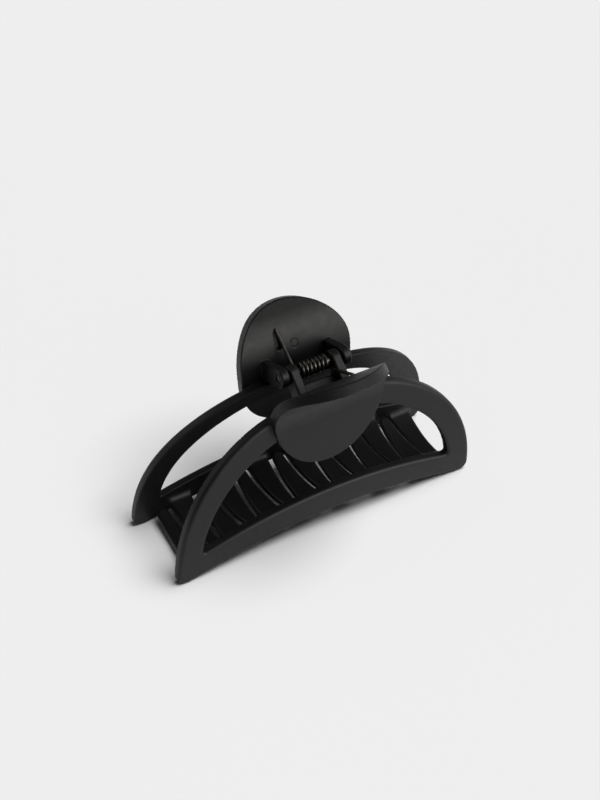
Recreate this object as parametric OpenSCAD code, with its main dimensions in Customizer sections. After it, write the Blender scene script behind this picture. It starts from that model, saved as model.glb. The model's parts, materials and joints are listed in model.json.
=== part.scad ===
// Large claw hair clip: two open half-moon jaws with interleaving teeth and
// round thumb paddles, hinged on one pin under a torsion spring.
// Units are millimetres. +X runs along the clip, -Y is its front and +Z is up.
// The origin is on the table, midway between the four feet of the closed clip.

/* [Jaw frame] */
// Length of the clip
clip_len = 105; // [95:1:115]
// Height of the arch above the table
arch_h = 47.9; // [46:0.1:49.5]
// Squareness of the arch: 2 is an ellipse
arch_power = 2.29; // [2.1:0.01:2.5]
// Half length of the opening in the frame
open_half_len = 44.2; // [42:0.2:46]
// Height of the opening's top
open_top = 41.4; // [40:0.1:42.5]
// Height of the bottom rail at its ends
rail_end_h = 9.05; // [8.5:0.05:10.5]
// Height of the bottom rail's top edge at mid length
rail_mid_top = 14.95; // [14:0.05:16]
// Rise of the bottom rail's lower edge at mid length
rail_rise = 6.2; // [5:0.1:7.2]
// Thickness of the frame
frame_t = 2.8; // [2.4:0.1:3.2]
// Distance from the middle plane to the outside of a foot
foot_y = 15.2; // [15:0.1:16.5]
// Radius of the outward bow of the frame
bow_r = 155; // [145:0.5:165]
// Radius of the outer corner of a foot
foot_corner_r = 2.8; // [2:0.1:4]
// Flat length under each foot
foot_flat = 1.2; // [1:0.1:3]

/* [Teeth] */
// Teeth on each jaw
tooth_count = 7; // [5:1:7]
// Distance between two teeth of one jaw
tooth_pitch = 13.5; // [13:0.1:13.7]
// Gap between two neighbouring teeth of the closed clip
tooth_gap = 1; // [0.8:0.1:1.4]
// Taper of each side of a tooth, sideways per millimetre of reach
tooth_taper = 0.08; // [0.04:0.01:0.1]
// How far a tooth reaches past the middle plane
tooth_reach = 11.5; // [10:0.1:11.6]
// Thickness of a tooth
tooth_t = 2.2; // [1.8:0.1:2.6]
// Radius of a tooth's downward curve
tooth_curve_r = 32; // [28:0.5:36]
// Height of a tooth's lowest point, at mid thickness, above the rail's lower edge
tooth_belly = 0.7; // [0.1:0.1:1]

/* [Thumb paddles] */
// Half width of a paddle
paddle_half_w = 19.05; // [18.5:0.05:19.5]
// Height of a paddle's upper half, seen square on to it
paddle_upper_h = 17.9; // [17.2:0.1:18.4]
// Height of a paddle's lower half, seen square on to it
paddle_lower_h = 22.2; // [21.4:0.1:22.6]
// Thickness of a paddle
paddle_t = 3.2; // [2.8:0.1:3.4]
// Inward lean of a paddle's lower half
paddle_lean = 6.75; // [5.5:0.25:8]
// Outward flare of a paddle's top
paddle_flare = 58.4; // [56:0.2:60]
// Radius of the bend on a paddle's outer face
bend_r = 17; // [16.4:0.1:17.6]
// Height at which the bend begins
bend_z = 42.6; // [42:0.1:43.2]
// Distance from the middle plane to the outer face where the bend begins
bend_y = 10.95; // [10.8:0.05:11.1]

/* [Hinge] */
// Height of the hinge axis
hinge_z = 53.5; // [53.3:0.1:53.9]
// Radius of the hinge pin
pin_r = 1.1; // [1:0.05:1.2]
// Length of the hinge pin
pin_len = 23.6; // [23:0.2:24]
// Running clearance of the pin in the front lugs
pin_play = 0.05; // [0.03:0.01:0.08]
// Distance from the middle to the inner side of a rear lug
rear_lug_x = 9.2; // [9.1:0.1:9.6]
// Width of a rear lug
rear_lug_w = 2.9; // [2.9:0.1:3.4]
// Radius of a rear lug's rounded end
rear_lug_r = 3.1; // [2.9:0.1:3.3]
// Downward slope of a rear lug, away from the pin
rear_lug_fall = 24; // [20:0.5:28]
// Distance from the middle to the inner side of a front lug
front_lug_x = 5.7; // [5.6:0.1:5.8]
// Width of a front lug
front_lug_w = 3.1; // [2.6:0.1:3.2]
// Radius of a front lug's rounded end
front_lug_r = 2.8; // [2.5:0.1:3]
// Downward slope of a front lug, away from the pin
front_lug_fall = 38.7; // [36:0.1:42]
// Thickness of the web between the front lugs
web_t = 1.6; // [1.2:0.1:2]

/* [Spring] */
// Diameter of the spring's wire
wire_d = 1; // [0.8:0.05:1.05]
// Mean radius of the spring's turns
coil_r = 2.1; // [2:0.05:2.15]
// Whole turns of the spring, the part turn at its legs left out
coil_turns = 7; // [5:1:7]
// Length of the coil between the middles of its end turns
coil_len = 9.6; // [8.6:0.1:9.6]
// Distance from the middle plane to the end of a leg
leg_end_y = 13.9; // [13.6:0.1:14.1]
// Height of a leg's end above the hinge axis
leg_end_rise = 5.7; // [5.5:0.1:5.9]
// Radius of the groove that a leg's end lies in
groove_r = 0.75; // [0.65:0.05:0.9]

/* [Hidden] */

plastic = [0.09, 0.09, 0.095];
plastic_light = [0.16, 0.16, 0.165];
steel = [0.42, 0.38, 0.33];
fine = 96;                       // facets of a round face
reach = 30;                      // longer than any cut along Y
half_len = clip_len / 2;
bow_y = bow_r - foot_y;          // centre of the frame's bow
arch_base = 0.3;                 // height where the arch's curve would start
open_base = 5.4;                 // the same for the opening
open_power = 2.06;
arc_step = 4;                    // degrees between two points of an arch
foot_end = half_len - foot_corner_r;
rail_under_r = arc_radius(foot_end - foot_flat, rail_rise);
rail_over_r = arc_radius(open_half_len, rail_mid_top - rail_end_h);
paddle_upper_len = 8;            // flat parts of the paddle plate, before it is cut to shape
paddle_lower_len = 17.5;
bend_steps = 12;
bend_c = [-bend_y - bend_r * cos(paddle_lean), bend_z + bend_r * sin(paddle_lean)];
upper_mid = [-17.25, 44.85];     // a point on the axis of the upper half's outline, in Y and Z
upper_tilt = 31.3;               // slope of that axis
lower_mid = [-10.9, 48.7];       // the same for the lower half, whose axis is square to the plate
tooth_low_y = -1;                // where a front tooth is at its lowest
table_gap = 0.3;                 // least space under a tooth
lug_len = 14;                    // long enough to reach the paddle from the pin
web_start = 4.2;                 // from the hinge axis to the web's edge
web_len = 9;
web_bite = 0.5;                  // how far the web runs into each front lug
leg_gap = 0.1;                   // between a leg and the end of the coil
leg_slope = atan2(leg_end_rise, leg_end_y) + asin(coil_r / norm([leg_end_y, leg_end_rise]));
leg_len = sqrt(pow(norm([leg_end_y, leg_end_rise]), 2) - pow(coil_r, 2));
coil_start = leg_slope - 90;               // where the rear leg meets the coil
coil_sweep = 360 * coil_turns + 2 * leg_slope;
coil_slope = atan2(coil_len, coil_sweep / 180 * PI * coil_r);
coil_rings = 14 * coil_turns;    // rings of points along the wire
wire_sides = 10;
leg_x = coil_len / 2;

// Radius of an arc that rises by h over a half chord of length c.
function arc_radius(c, h) = (c * c + h * h) / (2 * h);

// A point of a superellipse, a squared-off ellipse.
function superellipse(a, b, power, t) =
    [a * sign(cos(t)) * pow(abs(cos(t)), 2 / power), b * pow(sin(t), 2 / power)];

// Points along an arc, from angle a to angle b.
function arc(centre, r, a, b, n) =
    [for (i = [0:n]) centre + r * [cos(a + (b - a) * i / n), sin(a + (b - a) * i / n)]];

// Height of the rail's lower edge at distance x from the middle.
function rail_under(x) = rail_rise - rail_under_r + sqrt(pow(rail_under_r, 2) - x * x);

// Height of the lowest point of a tooth at x, at mid thickness.
function tooth_low(x) = max(rail_under(x) + tooth_belly, table_gap + tooth_t / 2);

// Middle of front tooth i. The rear teeth stand opposite its gaps.
function tooth_x(i) = (i - (tooth_count - 1) / 2) * tooth_pitch - tooth_pitch / 4;

// Turns what is drawn on one side of the clip round to the other side.
module half_turn() rotate([0, 0, 180]) children();

// Stands a drawing of Y and Z up, and extrudes it by w along X about the middle.
module across(w) rotate([90, 0, 90]) linear_extrude(w, center = true) children();

// Stands a drawing of X and Z up, and extrudes it from the middle plane forwards.
module forwards() rotate([90, 0, 0]) linear_extrude(reach) children();

// A rod along X on the hinge axis.
module hinge_rod(r, len) translate([0, 0, hinge_z]) rotate([0, 90, 0])
    cylinder(r = r, h = len, center = true, $fn = fine);

module arch_outline() polygon(concat(
    [for (t = [arc_step:arc_step:180 - arc_step])
        superellipse(half_len, arch_h - arch_base, arch_power, t) + [0, arch_base]],
    arc([-foot_end, foot_corner_r], foot_corner_r, 180, 270, 6),
    arc([foot_end, foot_corner_r], foot_corner_r, 270, 360, 6)));

module opening_outline() difference() {
    polygon([for (t = [0:arc_step:180])
        superellipse(open_half_len, open_top - open_base, open_power, t) + [0, open_base]]);
    translate([0, rail_mid_top - rail_over_r]) circle(r = rail_over_r, $fn = fine * 4);
}

module jaw_outline() difference() {
    arch_outline();
    opening_outline();
    translate([0, rail_rise - rail_under_r]) circle(r = rail_under_r, $fn = fine * 4);
}

// The bowed sheet that the frame is cut from, between two long cylinders.
module inside_of_sheet(r) translate([0, bow_y, 0]) rotate([0, 90, 0])
    cylinder(r = r, h = 2 * clip_len, center = true, $fn = fine * 4);

module frame_ring() intersection() {
    forwards() jaw_outline();
    difference() {
        inside_of_sheet(bow_r);
        inside_of_sheet(bow_r - frame_t);
    }
}

// One face of the paddle's bent plate seen from the side, from its lower end upwards:
// straight and leaning in below the bend, straight and flared out above it.
function bent_line(r) = let (bend = arc(bend_c, r, -paddle_lean, paddle_flare, bend_steps))
    concat([bend[0] - paddle_lower_len * [sin(paddle_lean), cos(paddle_lean)]],
           bend,
           [bend[bend_steps] + paddle_upper_len * [-sin(paddle_flare), cos(paddle_flare)]]);

function reversed(list) = [for (i = [len(list) - 1:-1:0]) list[i]];

module paddle_plate() across(2 * paddle_half_w)
    polygon(concat(bent_line(bend_r + paddle_t), reversed(bent_line(bend_r))));

// The space under the arch, outwards of the sheet's inner face.
module beyond_sheet() difference() {
    forwards() arch_outline();
    inside_of_sheet(bow_r - frame_t);
}

// Everything outwards of the paddle's inner face.
module beyond_paddle() across(2 * paddle_half_w)
    polygon(concat(bent_line(bend_r + paddle_t), [[-reach, hinge_z], [-reach, bend_z]]));

// Half of the paddle's outline, rounded off at height h, or at depth -h, and straight beyond the middle.
module half_outline(h) polygon(concat(
    [for (t = [0:arc_step:180]) superellipse(paddle_half_w, h, 2, t)],
    [for (side = [-1, 1]) [side * paddle_half_w, -sign(h) * reach]]));

// Cuts along an axis that passes mid and rises outwards by slope.
module outline_cut(mid, slope) translate([0, mid[0], mid[1]]) rotate([90 + slope, 0, 0])
    linear_extrude(2 * reach, center = true) children();

module paddle_disc() intersection() {
    paddle_plate();
    outline_cut(upper_mid, upper_tilt) half_outline(paddle_upper_h);
    outline_cut(lower_mid, -paddle_lean) half_outline(-paddle_lower_h);
}

// The wire of one leg, or a fatter rod on the same line, from the coil to past its end.
module leg_rod(r, from, to) translate([-leg_x, 0, hinge_z]) rotate([leg_slope, 0, 0])
    translate([0, from, -coil_r]) rotate([-90, 0, 0]) cylinder(r = r, h = to - from, $fn = 32);

module jaw_frame() difference() {
    frame_ring();
    paddle_disc();
}

module thumb_paddle() difference() {
    paddle_disc();
    half_turn() leg_rod(groove_r, leg_len / 2, leg_len + wire_d / 2);
}

// A tooth seen from above: a tapered finger with a round tip.
module tooth_plan() {
    mid_w = tooth_pitch / 2 - tooth_gap;
    tip_r = mid_w / 2 - tooth_taper * tooth_reach;
    root_w = mid_w + 2 * tooth_taper * foot_y;
    polygon([[-root_w / 2, -foot_y], [root_w / 2, -foot_y],
             [tip_r, tooth_reach - tip_r], [-tip_r, tooth_reach - tip_r]]);
    translate([0, tooth_reach - tip_r]) circle(r = tip_r, $fn = 32);
}

// A tooth seen from the side: a strip of a ring that dips below its two ends.
module tooth_side() translate([tooth_low_y, tooth_curve_r]) difference() {
    circle(r = tooth_curve_r + tooth_t / 2, $fn = fine * 2);
    circle(r = tooth_curve_r - tooth_t / 2, $fn = fine * 2);
    translate([-reach, -tooth_curve_r / 2]) square([2 * reach, 2 * reach]);
}

module jaw_teeth() intersection() {
    for (i = [0:tooth_count - 1]) translate([tooth_x(i), 0, tooth_low(tooth_x(i))])
        intersection() {
            across(tooth_pitch) tooth_side();
            linear_extrude(tooth_curve_r, center = true) tooth_plan();
        }
    inside_of_sheet(bow_r - frame_t);
}

// One lug seen from the side: a round end on the pin and an arm that falls by an angle.
module lug_side(r, fall) translate([0, hinge_z]) {
    circle(r = r, $fn = fine);
    rotate(180 + fall) translate([0, -r]) square([lug_len, 2 * r]);
}

module lug_pair(x, w) for (side = [-1, 1]) translate([side * (x + w / 2), 0, 0])
    across(w) children();

// The front lugs stand between the rear ones, joined by a web under the spring.
module front_hinge_lugs() color(plastic) difference() {
    union() {
        lug_pair(front_lug_x, front_lug_w) lug_side(front_lug_r, front_lug_fall);
        across(2 * (front_lug_x + web_bite)) translate([0, hinge_z])
            rotate(180 + front_lug_fall)
            translate([web_start, front_lug_r - web_t]) square([web_len, web_t]);
    }
    beyond_sheet();
    beyond_paddle();
    hinge_rod(pin_r + pin_play, pin_len);
}

module rear_hinge_lugs() color(plastic) difference() {
    half_turn() lug_pair(rear_lug_x, rear_lug_w) lug_side(rear_lug_r, rear_lug_fall);
    half_turn() beyond_sheet();
    half_turn() beyond_paddle();
    hinge_rod(pin_r, pin_len + 2);
}

module front_frame() color(plastic) jaw_frame();
module rear_frame() color(plastic) half_turn() jaw_frame();
module front_teeth() color(plastic) jaw_teeth();
module rear_teeth() color(plastic) half_turn() jaw_teeth();
module front_thumb_paddle() color(plastic_light) thumb_paddle();
module rear_thumb_paddle() color(plastic_light) half_turn() thumb_paddle();
module hinge_pin() color(steel) hinge_rod(pin_r, pin_len);

// Point j around the wire, on ring i of the coil.
function coil_point(i, j) =
    let (turn = coil_start - coil_sweep * i / coil_rings, a = 360 * j / wire_sides,
         out = coil_r + wire_d / 2 * cos(a), side = wire_d / 2 * sin(a))
    [(i / coil_rings - 0.5) * coil_len + side * cos(coil_slope),
     out * cos(turn) - side * sin(coil_slope) * sin(turn),
     hinge_z + out * sin(turn) + side * sin(coil_slope) * cos(turn)];

// The coil: a tube swept along a helix about the hinge axis.
module spring_coil() color(steel) polyhedron(
    [for (i = [0:coil_rings], j = [0:wire_sides - 1]) coil_point(i, j)],
    concat([[for (j = [0:wire_sides - 1]) j]],
           [for (i = [0:coil_rings - 1], j = [0:wire_sides - 1])
               let (a = i * wire_sides, b = (j + 1) % wire_sides)
               [a + j, a + wire_sides + j, a + wire_sides + b, a + b]],
           [[for (j = [wire_sides - 1:-1:0]) coil_rings * wire_sides + j]]),
    convexity = 10);

module spring_rear_leg() color(steel) leg_rod(wire_d / 2, leg_gap, leg_len);
module spring_front_leg() color(steel) half_turn() leg_rod(wire_d / 2, leg_gap, leg_len);

rear_frame();
rear_teeth();
rear_thumb_paddle();
rear_hinge_lugs();
front_frame();
front_teeth();
front_thumb_paddle();
front_hinge_lugs();
hinge_pin();
spring_coil();
spring_rear_leg();
spring_front_leg();
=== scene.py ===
"""The looks of the claw clip: two matt black mouldings, a steel pin and a torsion spring, in a pale studio.

The clip lies along X with its front on the -Y side. Shapes are worked out in millimetres and stored
in metres. A jaw is drawn as the front one, and the rear jaw is the same shape turned half round about
Z, apart from its hinge lugs.
"""
import json
import math

import bpy
import numpy as np
from mathutils import Matrix, Vector


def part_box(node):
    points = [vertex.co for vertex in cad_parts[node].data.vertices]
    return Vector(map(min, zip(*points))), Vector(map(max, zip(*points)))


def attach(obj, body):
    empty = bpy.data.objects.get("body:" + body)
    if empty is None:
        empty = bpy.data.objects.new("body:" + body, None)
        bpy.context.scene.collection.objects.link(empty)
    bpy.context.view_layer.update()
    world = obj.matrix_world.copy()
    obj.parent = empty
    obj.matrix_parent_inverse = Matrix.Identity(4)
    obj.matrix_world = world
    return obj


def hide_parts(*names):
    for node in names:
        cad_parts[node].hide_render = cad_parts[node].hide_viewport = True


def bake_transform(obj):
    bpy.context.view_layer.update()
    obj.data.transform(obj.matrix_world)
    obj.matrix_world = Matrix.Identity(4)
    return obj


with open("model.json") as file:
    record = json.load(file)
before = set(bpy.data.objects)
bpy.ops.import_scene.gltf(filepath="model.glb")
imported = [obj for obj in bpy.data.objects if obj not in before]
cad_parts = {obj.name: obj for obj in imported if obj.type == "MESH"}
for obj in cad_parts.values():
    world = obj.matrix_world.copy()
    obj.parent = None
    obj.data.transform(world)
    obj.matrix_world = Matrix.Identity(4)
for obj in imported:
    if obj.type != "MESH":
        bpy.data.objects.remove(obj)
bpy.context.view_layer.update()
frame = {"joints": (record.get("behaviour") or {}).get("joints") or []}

MM = 0.001
hinge = next(j for j in frame["joints"] if j["name"] == "jaw_hinge")


def size_mm(node):
    """Lowest and highest corner of a CAD node, in millimetres."""
    low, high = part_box(node)
    return np.array(low) / MM, np.array(high) / MM


frame_low, frame_high = size_mm("front_frame")
pin_low, pin_high = size_mm("hinge_pin")

# Jaw frame: a bowed sheet cut to an arch, with a half-moon opening.
HALF_LEN = frame_high[0]
FOOT_Y = -frame_low[1]                  # from the middle plane to the outside of a foot
ARCH_H, ARCH_BASE, ARCH_POWER = frame_high[2], 0.3, 2.29
OPEN_HALF_LEN, OPEN_TOP, OPEN_BASE, OPEN_POWER = 44.2, 41.4, 5.4, 2.06
OPEN_CORNER_R = 1.2
FRAME_T = 2.8
FRAME_OUTER_EDGE, FRAME_INNER_EDGE = 1.1, 0.35
BOW_R = 155.0                           # of the sheet's outer face, about an axis along X
BOW_Y = BOW_R - FOOT_Y
FOOT_R, FOOT_FLAT = 2.8, 1.2
RAIL_RISE, RAIL_END_H, RAIL_MID_TOP = 6.2, 9.05, 14.95

# Teeth: curved fingers, the same on both jaws, that pass between one another.
TOOTH_PITCH, TOOTH_GAP, TOOTH_TAPER, TOOTH_REACH = 13.5, 1.0, 0.08, 11.5
TOOTH_SHIFT = TOOTH_PITCH / 4           # the jaw's middle tooth is off centre by this much
TOOTH_TIP_T, TOOTH_T, TOOTH_ROOT_T = 1.7, 2.2, 2.6
TOOTH_R, TOOTH_LOW_Y = 32.0, -1.0       # the downward curve, and where it is lowest
TOOTH_BELLY, TABLE_GAP = 0.7, 0.3
TOOTH_EDGE, TOOTH_FILLET = 0.7, 1.6
LAST_TOOTH = 3                          # teeth on each side of the middle one

# Thumb paddle: a bent plate cut to two half ellipses, each on its own slope.
PADDLE_HALF_W, PADDLE_T = 19.05, 3.2
UPPER_H, UPPER_Y, UPPER_Z, UPPER_TILT = 17.9, -17.25, 44.85, math.radians(31.3)
LOWER_H, LOWER_Y, LOWER_Z = 22.2, -10.9, 48.7
LEAN, FLARE = math.radians(6.75), math.radians(58.4)
BEND_R, BEND_START_Y, BEND_START_Z = 17.0, -10.95, 42.6
BEND_Y = BEND_START_Y - BEND_R * math.cos(LEAN)
BEND_Z = BEND_START_Z + BEND_R * math.sin(LEAN)
PADDLE_OUTER_EDGE, PADDLE_INNER_EDGE, PADDLE_FILLET = 0.35, 0.3, 0.25

# Hinge. For a lug, x is its inner side, w its width, r the radius of its rounded end, fall the
# downward slope of its arm and play the room around the pin.
HINGE_Z = hinge["pos_m"][2] / MM
PIN_R = (pin_high[2] - pin_low[2]) / 2
PIN_HALF_LEN = pin_high[0]
FRONT_LUG = {"x": 5.7, "w": 3.1, "r": 2.8, "fall": math.radians(38.7), "play": 0.06}
REAR_LUG = {"x": 9.2, "w": 2.9, "r": 3.1, "fall": math.radians(24), "play": 0.02}
LUG_LEN = 14.0
LUG_ROOT_DEPTH = 1.0                    # the arms start this far in from the paddle's outer face
LUG_EDGE, LUG_FILLET, BORE_EDGE = 0.7, 0.12, 0.2
WEB_START, WEB_END, WEB_T = 4.2, 13.2, 1.6
WEB_BITE = 1.0                          # how far the web runs into each lug
WEB_EDGE, WEB_FILLET = 0.3, 0.4

# Spring
WIRE_R, COIL_R, COIL_TURNS, COIL_LEN = 0.5, 2.1, 7, 9.6
LEG_Y, LEG_RISE = 13.9, 5.7
LEG_POINTS, TURN_POINTS = 22, 36

# Slot in each paddle's inner face, around the end of a leg.
SLOT_X, SLOT_TOP = COIL_LEN / 2 + 0.3, HINGE_Z + LEG_RISE - 1.2
SLOT_HALF_W, SLOT_LEN, SLOT_DEPTH = 0.85, 3.2, 1.5
SLOT_FLOOR_EDGE, SLOT_RIM_EDGE = 0.3, 0.2

# Grid on which a jaw is sampled. Its lines are closer together around the hinge.
GRID_MARGIN, GRID_STEP, GRID_STEP_Y = 1.0, 0.5, 0.33
GRID_LOW_Y, GRID_LOW_Z, GRID_HIGH_Z = -24.8, -0.9, 66.2
FINE_HALF_LEN, FINE_STEP_X = 13.6, 0.26
FINE_LOW_Z, FINE_HIGH_Z, FINE_STEP_Z = 44.5, 60.8, 0.27


def arc_radius(half_chord, rise):
    """Radius of the arc with that rise over that half chord."""
    return (half_chord ** 2 + rise ** 2) / (2 * rise)


RAIL_UNDER_R = arc_radius(HALF_LEN - FOOT_R - FOOT_FLAT, RAIL_RISE)
RAIL_OVER_R = arc_radius(OPEN_HALF_LEN, RAIL_MID_TOP - RAIL_END_H)


# ---------------------------------------------------------------- distances
# Each returns a distance in mm, negative inside. Arguments broadcast, so the same functions
# serve a grid, where x, y and z lie along their own axes, and a list of points.

def round_max(a, b, r):
    """Where both a and b are negative, with the edge between them rounded to radius r."""
    return np.minimum(np.maximum(a, b), -r) + np.hypot(np.maximum(a + r, 0), np.maximum(b + r, 0))


def round_min(a, b, r):
    """Where a or b is negative, with a fillet of radius r between them."""
    return -round_max(-a, -b, r)


def superellipse(x, z, half_w, h, power):
    """A squared-off half ellipse over z = 0, with straight sides below.

    The two small limits only keep its middle from dividing by zero.
    """
    u, v = np.abs(x) / half_w, np.maximum(z, 0) / h
    level = np.maximum((u ** power + v ** power) ** (1 / power), 1e-3)
    slope = np.hypot(u ** (power - 1) / half_w, v ** (power - 1) / h) * level ** (1 - power)
    return (level - 1) / np.maximum(slope, 1e-4)


def outside_arc(x, z, r, top):
    """Negative outside a circle of radius r whose highest point is at z = top."""
    return r - np.hypot(x, z - (top - r))


def ring(x, z):
    """The jaw's outline and its opening, seen from the front."""
    under = np.maximum(-z, outside_arc(x, z, RAIL_UNDER_R, RAIL_RISE))
    arch = superellipse(x, z - ARCH_BASE, HALF_LEN, ARCH_H - ARCH_BASE, ARCH_POWER)
    opening = round_max(
        superellipse(x, z - OPEN_BASE, OPEN_HALF_LEN, OPEN_TOP - OPEN_BASE, OPEN_POWER),
        outside_arc(x, z, RAIL_OVER_R, RAIL_MID_TOP), OPEN_CORNER_R)
    return np.maximum(round_max(arch, under, FOOT_R), -opening)


def sheet_depth(y, z):
    """How far in from the frame's bowed outer face."""
    return BOW_R - np.hypot(y - BOW_Y, z)


def frame_shape(x, y, z):
    """The open frame, with its arch, its two feet and the rail between them."""
    depth = sheet_depth(y, z)
    outer = round_max(ring(x, z), -depth, FRAME_OUTER_EDGE)
    return round_max(outer, depth - FRAME_T, FRAME_INNER_EDGE)


def tooth_shape(x, y, z):
    """All of a jaw's teeth: curved tapered fingers, thicker at the root."""
    number = np.clip(np.round((x + TOOTH_SHIFT) / TOOTH_PITCH), -LAST_TOOTH, LAST_TOOTH)
    middle = number * TOOTH_PITCH - TOOTH_SHIFT
    rail_under = RAIL_RISE - RAIL_UNDER_R + np.sqrt(RAIL_UNDER_R ** 2 - middle ** 2)
    low = np.maximum(rail_under + TOOTH_BELLY, TABLE_GAP + TOOTH_T / 2)
    mid_w = TOOTH_PITCH / 2 - TOOTH_GAP
    tip_r = mid_w / 2 - TOOTH_TAPER * TOOTH_REACH
    tip_y = TOOTH_REACH - tip_r
    slope = (mid_w / 2 + TOOTH_TAPER * FOOT_Y - tip_r) / (FOOT_Y + tip_y)
    across = np.abs(x - middle)
    side = (across - tip_r - slope * (tip_y - y)) / math.hypot(1, slope)
    plan = np.where(y > tip_y, np.hypot(across, y - tip_y) - tip_r, side)
    thinning = (TOOTH_TIP_T - TOOTH_ROOT_T) * (y + FOOT_Y) / (TOOTH_REACH + FOOT_Y)
    strip = np.abs(np.hypot(y - TOOTH_LOW_Y, z - low - TOOTH_R) - TOOTH_R) - (TOOTH_ROOT_T + thinning) / 2
    beyond_root = FRAME_T / 2 - sheet_depth(y, z)
    too_high = z - low - TOOTH_R / 2        # the strip is a whole ring until this cuts it
    return np.maximum(round_max(plan, strip, TOOTH_EDGE), np.maximum(beyond_root, too_high))


def paddle_place(y, z):
    """Depth in from the paddle's bent outer face, and how far up its inner face."""
    dy, dz = y - BEND_Y, z - BEND_Z
    angle = np.clip(np.arctan2(dz, dy), -LEAN, FLARE)
    beyond = dz * np.cos(angle) - dy * np.sin(angle)
    return dy * np.cos(angle) + dz * np.sin(angle) - BEND_R, (BEND_R + PADDLE_T) * angle + beyond


def leg_slot(x, z, depth):
    """The round-ended slot in a paddle's inner face."""
    beyond = np.maximum(z - SLOT_TOP, 0) + np.maximum(SLOT_TOP - SLOT_LEN - z, 0)
    plan = np.hypot(x - SLOT_X, beyond) - SLOT_HALF_W
    return round_max(plan, PADDLE_T - SLOT_DEPTH - depth, SLOT_FLOOR_EDGE)


def ejector_ring(x, run, height=10.4, ring_r=1.3, width=0.14, depth=0.13):
    """Depth of the thin round mark that an ejector pin leaves on the paddle's inner face."""
    away = np.hypot(x, run - height)
    return depth * np.exp(-((away - ring_r) / width) ** 2)


def paddle_shape(x, y, z):
    """The thumb paddle, with the slot for a leg and the ejector mark in its inner face."""
    depth, run = paddle_place(y, z)
    up = (z - UPPER_Z) * math.cos(UPPER_TILT) - (y - UPPER_Y) * math.sin(UPPER_TILT)
    down = (LOWER_Z - z) * math.cos(LEAN) - (y - LOWER_Y) * math.sin(LEAN)
    disc = np.maximum(superellipse(x, up, PADDLE_HALF_W, UPPER_H, 2),
                      superellipse(x, down, PADDLE_HALF_W, LOWER_H, 2))
    inner = depth - PADDLE_T + ejector_ring(x, run)
    plate = round_max(round_max(disc, -depth, PADDLE_OUTER_EDGE), inner, PADDLE_INNER_EDGE)
    return round_max(plate, -leg_slot(x, z, depth), SLOT_RIM_EDGE)


def lug_shape(x, y, z, lug):
    """A pair of lugs, with round ends on the pin and arms that fall away to the paddle.

    Also returns how far a point is along an arm from the pin, and how far off its middle line.
    """
    c, s = math.cos(lug["fall"]), math.sin(lug["fall"])
    along = -c * y - s * (z - HINGE_Z)
    off = -s * y + c * (z - HINGE_Z)
    arm = np.hypot(along - np.clip(along, 0, LUG_LEN), off) - lug["r"]
    slab = np.abs(np.abs(x) - lug["x"] - lug["w"] / 2) - lug["w"] / 2
    return round_max(arm, slab, LUG_EDGE), along, off


def web_shape(x, along, off, lug):
    """The flat web between two lugs, along their lower edges."""
    section = round_max(np.abs(along - (WEB_START + WEB_END) / 2) - (WEB_END - WEB_START) / 2,
                        np.abs(off + lug["r"] - WEB_T / 2) - WEB_T / 2, WEB_EDGE)
    return round_max(section, np.abs(x) - lug["x"] - WEB_BITE, WEB_EDGE)


def jaw_shape(x, y, z, lug, has_web):
    """One whole jaw moulding."""
    jaw = round_min(frame_shape(x, y, z), tooth_shape(x, y, z), TOOTH_FILLET)
    jaw = round_min(jaw, paddle_shape(x, y, z), PADDLE_FILLET)
    lugs, along, off = lug_shape(x, y, z, lug)
    if has_web:
        lugs = round_min(lugs, web_shape(x, along, off, lug), WEB_FILLET)
    depth, _ = paddle_place(y, z)
    jaw = round_min(jaw, np.maximum(lugs, LUG_ROOT_DEPTH - depth), LUG_FILLET)
    bore = np.hypot(y, z - HINGE_Z) - PIN_R - lug["play"]
    return round_max(jaw, -bore, BORE_EDGE)


# ---------------------------------------------------------------- surface to mesh

def grid_lines(low, high, coarse, fine_low=None, fine_high=None, fine=None):
    """Grid lines from low to high, closer together between fine_low and fine_high."""
    if fine is None:
        return np.linspace(low, high, int((high - low) / coarse) + 2)
    parts = [(low, fine_low, coarse), (fine_low, fine_high, fine), (fine_high, high, coarse)]
    return np.concatenate([np.linspace(a, b, int((b - a) / step) + 1, endpoint=False)
                           for a, b, step in parts] + [[high]])


def sample(shape, xs, ys, zs, slab=24):
    """The distance at every grid point, a slab of x at a time."""
    field = np.empty((len(xs), len(ys), len(zs)), np.float32)
    for i in range(0, len(xs), slab):
        field[i:i + slab] = shape(xs[i:i + slab, None, None], ys[None, :, None], zs[None, None, :])
    return field


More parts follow.
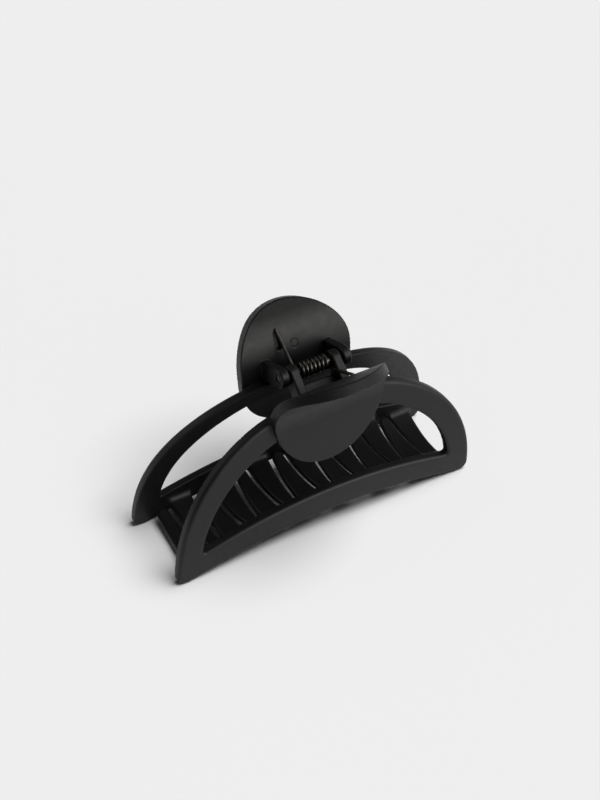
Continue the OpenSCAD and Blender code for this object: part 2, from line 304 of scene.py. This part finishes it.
def surface_net(field, axes):
    """Vertices, one in each cell that the surface passes through, and the quads between them.

    Each grid edge that crosses the surface gives a quad through the four cells around it.
    """
    inside = field < 0
    total = np.zeros(tuple(n - 1 for n in field.shape) + (3,), np.float32)
    count = np.zeros(total.shape[:3], np.float32)
    crossings = []
    for axis in range(3):
        lo = [slice(None)] * 3
        hi = [slice(None)] * 3
        lo[axis], hi[axis] = slice(0, -1), slice(1, None)
        a, b = field[tuple(lo)], field[tuple(hi)]
        at = np.argwhere(inside[tuple(lo)] != inside[tuple(hi)])
        fa, fb = a[tuple(at.T)], b[tuple(at.T)]
        share = fa / (fa - fb)
        point = np.stack([axes[k][at[:, k]] for k in range(3)], 1)
        step = axes[axis][at[:, axis] + 1] - axes[axis][at[:, axis]]
        point[:, axis] += share * step
        others = [k for k in range(3) if k != axis]
        cells = []
        for du, dv in ((0, 0), (1, 0), (1, 1), (0, 1)):
            cell = at.copy()
            cell[:, others[0]] -= du
            cell[:, others[1]] -= dv
            cells.append(cell)
            np.add.at(total, tuple(cell.T), point)
            np.add.at(count, tuple(cell.T), 1)
        flip = (fa < 0) ^ (axis == 1)
        crossings.append((cells, flip))
    used = np.argwhere(count > 0)
    index = np.full(count.shape, -1, np.int64)
    index[tuple(used.T)] = np.arange(len(used))
    points = total[tuple(used.T)] / count[tuple(used.T)][:, None]
    quads = []
    for cells, flip in crossings:
        quad = np.stack([index[tuple(c.T)] for c in cells], 1)
        quad[~flip] = quad[~flip, ::-1]
        quads.append(quad)
    return points.astype(float), np.concatenate(quads)


def gradient(shape, points, h=0.01):
    """The slope of the distance at each point, from differences over h to either side."""
    steps = np.eye(3) * h
    return np.stack([(shape(*(points + s).T) - shape(*(points - s).T)) / (2 * h) for s in steps], 1)


def onto_surface(shape, points, rounds, longest_move=0.4, least_slope_squared=0.05):
    """Moves the points along the gradient until they lie on the surface."""
    for _ in range(rounds):
        g = gradient(shape, points)
        slope_squared = np.maximum((g ** 2).sum(1), least_slope_squared)
        move = shape(*points.T)[:, None] * g / slope_squared[:, None]
        length = np.linalg.norm(move, axis=1, keepdims=True)
        points = points - move * np.minimum(1, longest_move / np.maximum(length, 1e-9))
    return points


def relax(points, quads, share=0.5):
    """Moves each vertex part of the way to the middle of its neighbours."""
    total, count = np.zeros_like(points), np.zeros(len(points))
    for k in range(4):
        a, b = quads[:, k], quads[:, (k + 1) % 4]
        for here, there in ((a, b), (b, a)):
            for axis in range(3):
                total[:, axis] += np.bincount(here, points[there, axis], len(points))
            count += np.bincount(here, minlength=len(points))
    return points + share * (total / count[:, None] - points)


def skin(shape, axes):
    """Points, quads and normals of the surface where shape is 0."""
    points, quads = surface_net(sample(shape, *axes), axes)
    points = onto_surface(shape, points, 3)
    for _ in range(3):
        points = onto_surface(shape, relax(points, quads), 2)
    normals = gradient(shape, points)
    return points, quads, normals / np.linalg.norm(normals, axis=1, keepdims=True)


# ---------------------------------------------------------------- objects

def new_object(name, points, faces, material, normals=None):
    """A smooth-shaded mesh object from points in mm."""
    mesh = bpy.data.meshes.new(name)
    mesh.from_pydata((np.asarray(points) * MM).tolist(), [], [list(map(int, f)) for f in faces])
    mesh.update()
    mesh.polygons.foreach_set("use_smooth", [True] * len(mesh.polygons))
    if normals is not None:
        mesh.normals_split_custom_set_from_vertices(normals.tolist())
    mesh.materials.append(material)
    obj = bpy.data.objects.new(name, mesh)
    bpy.context.scene.collection.objects.link(obj)
    return obj


def make_jaw(side, lug, has_web, material):
    """The rear or front jaw moulding, in place of the CAD nodes of its body."""
    axes = (grid_lines(-HALF_LEN - GRID_MARGIN, HALF_LEN + GRID_MARGIN, GRID_STEP,
                       -FINE_HALF_LEN, FINE_HALF_LEN, FINE_STEP_X),
            grid_lines(GRID_LOW_Y, TOOTH_REACH + GRID_MARGIN, GRID_STEP_Y),
            grid_lines(GRID_LOW_Z, GRID_HIGH_Z, GRID_STEP, FINE_LOW_Z, FINE_HIGH_Z, FINE_STEP_Z))
    points, quads, normals = skin(lambda x, y, z: jaw_shape(x, y, z, lug, has_web), axes)
    if side == "rear":
        half_turn = np.array([-1, -1, 1])
        points, normals = points * half_turn, normals * half_turn
    jaw = new_object(f"{side}_jaw_moulding", points, quads, material, normals)
    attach(jaw, f"{side}_jaw")
    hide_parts(*(f"{side}_{part}" for part in ("frame", "teeth", "thumb_paddle", "hinge_lugs")))


def tube(rings):
    """Points and faces of a closed tube through equal rings of points, with flat ends."""
    n, sides = len(rings), len(rings[0])
    faces = [(i * sides + j, i * sides + (j + 1) % sides,
              (i + 1) * sides + (j + 1) % sides, (i + 1) * sides + j)
             for i in range(n - 1) for j in range(sides)]
    faces += [tuple(range(sides))[::-1], tuple((n - 1) * sides + j for j in range(sides))]
    return np.concatenate(rings), faces


def spring_line():
    """The wire's centre line: rear leg, coil and front leg."""
    reach = math.hypot(LEG_Y, LEG_RISE)
    slope = math.atan2(LEG_RISE, LEG_Y) + math.asin(COIL_R / reach)
    leg_len = math.sqrt(reach ** 2 - COIL_R ** 2)
    along = np.linspace(leg_len, 0, LEG_POINTS)[:, None]
    leg = np.hstack([np.full_like(along, -COIL_LEN / 2),
                     along * math.cos(slope) + COIL_R * math.sin(slope),
                     along * math.sin(slope) - COIL_R * math.cos(slope)])
    sweep = 2 * math.pi * COIL_TURNS + 2 * slope
    share = np.linspace(0, 1, TURN_POINTS * COIL_TURNS)[1:-1]
    turn = slope - math.pi / 2 - sweep * share
    coil = np.stack([(share - 0.5) * COIL_LEN, COIL_R * np.cos(turn), COIL_R * np.sin(turn)], 1)
    other_leg = (leg * [-1, -1, 1])[::-1]
    return np.concatenate([leg, coil, other_leg]) + [0, 0, HINGE_Z]


def sweep_wire(line, radius, sides=14, end_round=0.22, end_angles=(0, 0.8, math.pi / 2)):
    """Rings of a round wire along a line, with its two ends rounded off."""
    tangent = np.gradient(line, axis=0)
    tangent /= np.linalg.norm(tangent, axis=1, keepdims=True)
    side = np.cross(tangent[0], [1.0, 0, 0])
    rings = []
    for k, (p, t) in enumerate(zip(line, tangent)):
        side = side - t * (side @ t)
        side /= np.linalg.norm(side)
        other = np.cross(t, side)
        turn = np.arange(sides) / sides * 2 * math.pi
        circle = np.cos(turn)[:, None] * side + np.sin(turn)[:, None] * other
        if k in (0, len(line) - 1):
            out = -t if k == 0 else t
            caps = [p + radius * (1 - end_round * (1 - math.cos(a))) * circle
                    + out * radius * end_round * math.sin(a) for a in end_angles]
            rings += caps[::-1] if k == 0 else caps
        else:
            rings.append(p + radius * circle)
    return rings


def make_spring(material):
    """The wire, from the rear leg round the coil to the front leg, as one fixed mesh."""
    points, faces = tube(sweep_wire(spring_line(), WIRE_R))
    spring = new_object("torsion_spring", points, faces, material)
    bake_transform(spring)
    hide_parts("spring_coil", "spring_rear_leg", "spring_front_leg")


def make_pin(material, sides=48, chamfer=0.3, half_rings=20):
    """A plain pin with rounded ends. The profile runs from its left end to its right end."""
    turn = np.arange(sides) / sides * 2 * math.pi
    profile = [(-PIN_HALF_LEN + chamfer * back, PIN_R - chamfer * drop)
               for back, drop in ((0, 1), (0.4, 0.3), (1, 0))]
    profile += [(x, PIN_R) for x in np.linspace(-PIN_HALF_LEN + 2 * chamfer, 0, half_rings)]
    profile += [(-x, r) for x, r in profile[::-1][1:]]
    rings = [np.stack([np.full(sides, x), r * np.cos(turn), HINGE_Z + r * np.sin(turn)], 1)
             for x, r in profile]
    points, faces = tube(rings)
    pin = new_object("pin", points, faces, material)
    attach(pin, "rear_jaw")
    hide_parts("hinge_pin")


# ---------------------------------------------------------------- materials

def new_material(name):
    """A material, its node tree, its shader and the object coordinates that its textures follow."""
    material = bpy.data.materials.new(name)
    material.use_nodes = True
    tree = material.node_tree
    place = tree.nodes.new("ShaderNodeTexCoord").outputs["Object"]
    return material, tree, tree.nodes["Principled BSDF"], place


def noise(tree, coordinates, scale, detail=3.0, roughness=0.5):
    node = tree.nodes.new("ShaderNodeTexNoise")
    node.inputs["Scale"].default_value = scale
    node.inputs["Detail"].default_value = detail
    node.inputs["Roughness"].default_value = roughness
    tree.links.new(coordinates, node.inputs["Vector"])
    return node.outputs["Fac"]


def ramp(tree, value, stops):
    """A colour ramp between two stops, each a position and a grey or a colour."""
    node = tree.nodes.new("ShaderNodeValToRGB")
    for element, (at, colour) in zip(node.color_ramp.elements, stops):
        element.position = at
        element.color = (*((colour,) * 3 if isinstance(colour, float) else colour), 1)
    tree.links.new(value, node.inputs["Fac"])
    return node.outputs["Color"]


def bump(tree, height, strength, distance, normal=None):
    """A bump with its distance in metres, laid over another normal if one is given."""
    node = tree.nodes.new("ShaderNodeBump")
    node.inputs["Strength"].default_value = strength
    node.inputs["Distance"].default_value = distance
    tree.links.new(height, node.inputs["Height"])
    if normal is not None:
        tree.links.new(normal, node.inputs["Normal"])
    return node.outputs["Normal"]


def black_plastic():
    """Satin-matt moulded plastic: a fine spark-eroded grain and slow clouds in its sheen."""
    material, tree, shader, place = new_material("black_plastic")
    cool, warm = (0.0030, 0.0030, 0.0031), (0.0046, 0.0045, 0.0044)
    clouds = noise(tree, place, scale=90, detail=4)
    grain = noise(tree, place, scale=5200, detail=2, roughness=0.6)
    flow = noise(tree, place, scale=420)
    tree.links.new(ramp(tree, clouds, [(0.3, cool), (0.7, warm)]), shader.inputs["Base Color"])
    tree.links.new(ramp(tree, flow, [(0.3, 0.42), (0.7, 0.5)]), shader.inputs["Roughness"])
    shader.inputs["Specular IOR Level"].default_value = 0.31
    slow = bump(tree, flow, strength=0.12, distance=0.06 * MM)
    fine = bump(tree, grain, strength=0.22, distance=0.02 * MM, normal=slow)
    tree.links.new(fine, shader.inputs["Normal"])
    return material


def steel(name, dark, light, roughness, stretch):
    """Steel with patches of tint and a fine grain, drawn out into lines where stretch is under 1."""
    material, tree, shader, place = new_material(name)
    mapping = tree.nodes.new("ShaderNodeMapping")
    mapping.inputs["Scale"].default_value = stretch
    tree.links.new(place, mapping.inputs["Vector"])
    lines = noise(tree, mapping.outputs["Vector"], scale=2600, detail=2)
    tint = noise(tree, place, scale=260)
    smooth, rough = roughness - 0.06, roughness + 0.08
    tree.links.new(ramp(tree, tint, [(0.35, dark), (0.65, light)]), shader.inputs["Base Color"])
    tree.links.new(ramp(tree, lines, [(0.3, smooth), (0.7, rough)]), shader.inputs["Roughness"])
    shader.inputs["Metallic"].default_value = 1.0
    tree.links.new(bump(tree, lines, strength=0.15, distance=0.02 * MM), shader.inputs["Normal"])
    return material


def spring_steel():
    return steel("spring_steel", dark=(0.07, 0.068, 0.064), light=(0.15, 0.14, 0.125),
                 roughness=0.3, stretch=(1, 1, 1))


def pin_steel():
    return steel("pin_steel", dark=(0.12, 0.118, 0.115), light=(0.2, 0.195, 0.19),
                 roughness=0.35, stretch=(0.05, 1, 1))


def pale_floor():
    material, tree, shader, place = new_material("pale_floor")
    patches = noise(tree, place, scale=3, detail=2)
    tree.links.new(ramp(tree, patches, [(0.3, 0.795), (0.7, 0.805)]), shader.inputs["Base Color"])
    shader.inputs["Roughness"].default_value = 0.9
    shader.inputs["Specular IOR Level"].default_value = 0.1
    return material


# ---------------------------------------------------------------- studio

def make_floor(half=3.0):
    mesh = bpy.data.meshes.new("floor")
    corners = [(-half, -half, 0), (half, -half, 0), (half, half, 0), (-half, half, 0)]
    mesh.from_pydata(corners, [], [(0, 1, 2, 3)])
    mesh.materials.append(pale_floor())
    floor = bpy.data.objects.new("floor", mesh)
    bpy.context.scene.collection.objects.link(floor)


def look_from(azimuth, elevation):
    """Unit vector from the object towards that direction. Azimuth 0 is in front of it."""
    a, e = math.radians(azimuth), math.radians(elevation)
    return Vector((math.sin(a) * math.cos(e), -math.cos(a) * math.cos(e), math.sin(e)))


def wide_sun(name, azimuth, elevation, width, strength, colour=(1, 1, 1)):
    """A far softbox that looks this many degrees across, so the floor is lit evenly."""
    data = bpy.data.lights.new(name, "SUN")
    data.angle = math.radians(width)
    data.energy = strength
    data.color = colour
    light = bpy.data.objects.new(name, data)
    bpy.context.scene.collection.objects.link(light)
    away = look_from(azimuth, elevation)
    light.location = away
    light.rotation_mode = "QUATERNION"
    light.rotation_quaternion = (-away).to_track_quat("-Z", "Y")
    return light


def make_studio():
    scene = bpy.context.scene
    scene.view_settings.view_transform = "Standard"
    world = bpy.data.worlds.new("studio")
    world.use_nodes = True
    background = world.node_tree.nodes["Background"]
    background.inputs["Color"].default_value = (1, 1, 1, 1)
    background.inputs["Strength"].default_value = 0.07
    scene.world = world
    make_floor()
    overhead = wide_sun("overhead", azimuth=66, elevation=68, width=44, strength=3.4)
    overhead.visible_glossy = False         # kept out of the gloss, as by a polarising filter
    panels = (
        wide_sun("front_panel", azimuth=34, elevation=27, width=64, strength=2.35, colour=(1, 0.975, 0.95)),
        wide_sun("front_right_lamp", azimuth=36, elevation=30, width=14, strength=0.3),
        wide_sun("right_panel", azimuth=100, elevation=14, width=40, strength=0.36),
        wide_sun("back_left_panel", azimuth=-145, elevation=28, width=50, strength=0.4))
    for panel in panels:
        panel.visible_diffuse = False       # only seen in the gloss, so the floor has one shadow


def make_camera():
    """A long lens from the front left, above the clip, held a little off level."""
    azimuth, elevation, roll = -34.75, 42.83, math.radians(4.36)
    distance = 566.65 * MM
    target = Vector((-3.54, 0, 41.52)) * MM
    data = bpy.data.cameras.new("camera")
    data.lens = 86.03
    data.clip_start, data.clip_end = 0.01, 20
    camera = bpy.data.objects.new("camera", data)
    bpy.context.scene.collection.objects.link(camera)
    back = look_from(azimuth, elevation)
    level_right = Vector((math.cos(math.radians(azimuth)), math.sin(math.radians(azimuth)), 0))
    level_up = back.cross(level_right)
    right = math.cos(roll) * level_right + math.sin(roll) * level_up
    up = back.cross(right)
    turn = Matrix((right, up, back)).transposed().to_4x4()
    camera.matrix_world = Matrix.Translation(target + back * distance) @ turn
    bpy.context.scene.camera = camera


plastic = black_plastic()
make_jaw("rear", REAR_LUG, has_web=False, material=plastic)
make_jaw("front", FRONT_LUG, has_web=True, material=plastic)
make_spring(spring_steel())
make_pin(pin_steel())
make_studio()
make_camera()
